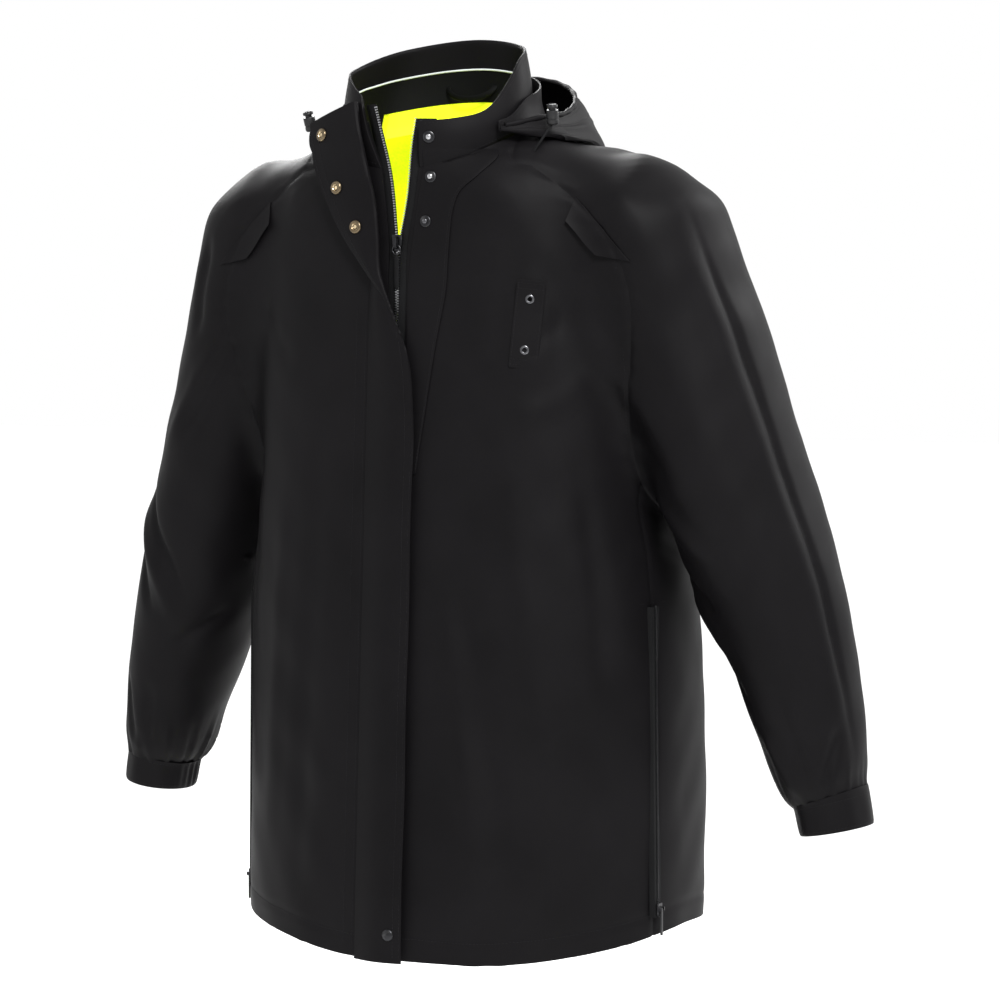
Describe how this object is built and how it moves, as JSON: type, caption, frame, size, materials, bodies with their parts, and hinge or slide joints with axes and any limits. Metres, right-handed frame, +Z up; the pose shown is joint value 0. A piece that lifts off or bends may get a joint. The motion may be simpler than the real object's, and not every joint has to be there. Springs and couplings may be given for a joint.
{
  "type": "hooded rain coat",
  "caption": "Hip-length black hooded rain coat, reversible to a hi-vis lining, with a zip, storm flap, side vent zips, raglan sleeves and a badge tab.",
  "frame": {"origin": "centre of the neck base, where the coat sits on its wearer", "axes": "+Z up, -Y the coat's front, +X the wearer's left"},
  "size_m": [0.8708, 0.4076, 0.9237],
  "materials": {
    "black_shell": "smooth coated woven polyester, semi-matt",
    "black_facing": "matt woven facing",
    "hi_vis_lining": "fluorescent yellow-green polyester",
    "silver_piping": "silver-white reflective piping",
    "antique_brass": "antique brass, satin",
    "gunmetal": "gunmetal plated",
    "zip_tape": "woven zip tape",
    "black_plastic": "moulded black plastic and cord"
  },
  "bodies": {
    "coat": {"front_panel_left": "black_shell", "front_panel_right": "black_shell", "back_panel": "black_shell", "collar": "black_shell", "hood": "black_shell", "storm_flap_upper": "black_shell", "placket_left": "black_shell", "badge_tab": "black_shell", "raglan_sleeve_left": "black_shell", "elbow_section_left": "black_shell", "shoulder_flap_left": "black_shell", "raglan_sleeve_right": "black_shell", "elbow_section_right": "black_shell", "shoulder_flap_right": "black_shell", "collar_facing": "black_facing", "hanger_loop": "black_facing", "lining_body": "hi_vis_lining", "collar_piping": "silver_piping", "snap_socket_top": "antique_brass", "snap_socket_middle": "antique_brass", "snap_socket_lower": "antique_brass", "snap_stud_top": "gunmetal", "snap_stud_middle": "gunmetal", "snap_stud_lower": "gunmetal", "snap_stud_hem": "gunmetal", "badge_eyelet_top": "gunmetal", "badge_eyelet_bottom": "gunmetal", "zip_teeth_left": "gunmetal", "zip_teeth_right": "gunmetal", "zip_bottom_stop": "gunmetal", "vent_teeth_left": "gunmetal", "vent_teeth_right": "gunmetal", "zip_tape_left": "zip_tape", "zip_tape_right": "zip_tape", "vent_tape_left": "zip_tape", "vent_tape_right": "zip_tape", "hood_drawcord": "black_plastic"},
    "main_zip_slider": {"zip_slider": "gunmetal", "zip_slider_back": "gunmetal"},
    "main_zip_pull": {"zip_pull_ring": "gunmetal", "zip_pull_strap": "black_plastic"},
    "storm_flap": {"storm_flap_lower": "black_shell", "snap_socket_hem": "gunmetal"},
    "vent_slider_left": {"vent_slider_left": "gunmetal"},
    "vent_slider_right": {"vent_slider_right": "gunmetal"},
    "vent_pull_left": {"vent_pull_left": "black_plastic"},
    "vent_pull_right": {"vent_pull_right": "black_plastic"},
    "cord_lock_left": {"cord_lock_left": "black_plastic"},
    "cord_lock_right": {"cord_lock_right": "black_plastic"},
    "cord_button_left": {"cord_lock_button_left": "black_plastic"},
    "cord_button_right": {"cord_lock_button_right": "black_plastic"},
    "forearm_left": {"forearm_sleeve_left": "black_shell", "forearm_lining_left": "hi_vis_lining", "cuff_left": "black_facing"},
    "forearm_right": {"forearm_sleeve_right": "black_shell", "forearm_lining_right": "hi_vis_lining", "cuff_right": "black_facing"}
  },
  "joints": [
    {"name": "main_zip_slide", "type": "slide", "parent": "coat", "child": "main_zip_slider", "axis": [0, 0.0522, 0.9986], "range_m": [-0.664, 0]},
    {"name": "main_zip_pull_swing", "type": "hinge", "parent": "main_zip_slider", "child": "main_zip_pull", "pos_m": [0, -0.07386, -0.1034], "axis": [-1, 0, 0], "range_deg": [0, 100]},
    {"name": "storm_flap_open", "type": "hinge", "parent": "coat", "child": "storm_flap", "pos_m": [-0.031, -0.08238, -0.178], "axis": [0, -0.0522, -0.9986], "range_deg": [0, 120]},
    {"name": "vent_slide_left", "type": "slide", "parent": "coat", "child": "vent_slider_left", "axis": [-0.0108, 0, 0.9999], "range_m": [0, 0.285]},
    {"name": "vent_pull_swing_left", "type": "hinge", "parent": "vent_slider_left", "child": "vent_pull_left", "pos_m": [0.24137, 0.034, -0.764], "axis": [0, -1, 0], "range_deg": [0, 95]},
    {"name": "cord_lock_slide_left", "type": "slide", "parent": "coat", "child": "cord_lock_left", "axis": [0.1003, -0.2507, 0.9628], "range_m": [0, 0.01]},
    {"name": "cord_button_press_left", "type": "slide", "parent": "cord_lock_left", "child": "cord_button_left", "axis": [0.1003, -0.2507, 0.9628], "range_m": [-0.002, 0], "stiffness_N_per_m": 300},
    {"name": "elbow_bend_left", "type": "hinge", "parent": "coat", "child": "forearm_left", "pos_m": [0.325, 0.099, -0.42], "axis": [-0.9515, 0, -0.3076], "range_deg": [-12, 50], "stiffness_Nm_per_rad": 0.6, "deforming": ["elbow_section_left"]},
    {"name": "vent_slide_right", "type": "slide", "parent": "coat", "child": "vent_slider_right", "axis": [0.0108, 0, 0.9999], "range_m": [0, 0.285]},
    {"name": "vent_pull_swing_right", "type": "hinge", "parent": "vent_slider_right", "child": "vent_pull_right", "pos_m": [-0.24137, 0.034, -0.764], "axis": [0, 1, 0], "range_deg": [0, 95]},
    {"name": "cord_lock_slide_right", "type": "slide", "parent": "coat", "child": "cord_lock_right", "axis": [-0.1003, -0.2507, 0.9628], "range_m": [0, 0.01]},
    {"name": "cord_button_press_right", "type": "slide", "parent": "cord_lock_right", "child": "cord_button_right", "axis": [-0.1003, -0.2507, 0.9628], "range_m": [-0.002, 0], "stiffness_N_per_m": 300},
    {"name": "elbow_bend_right", "type": "hinge", "parent": "coat", "child": "forearm_right", "pos_m": [-0.325, 0.099, -0.42], "axis": [-0.9515, 0, 0.3076], "range_deg": [-12, 50], "stiffness_Nm_per_rad": 0.6, "deforming": ["elbow_section_right"]}
  ]
}
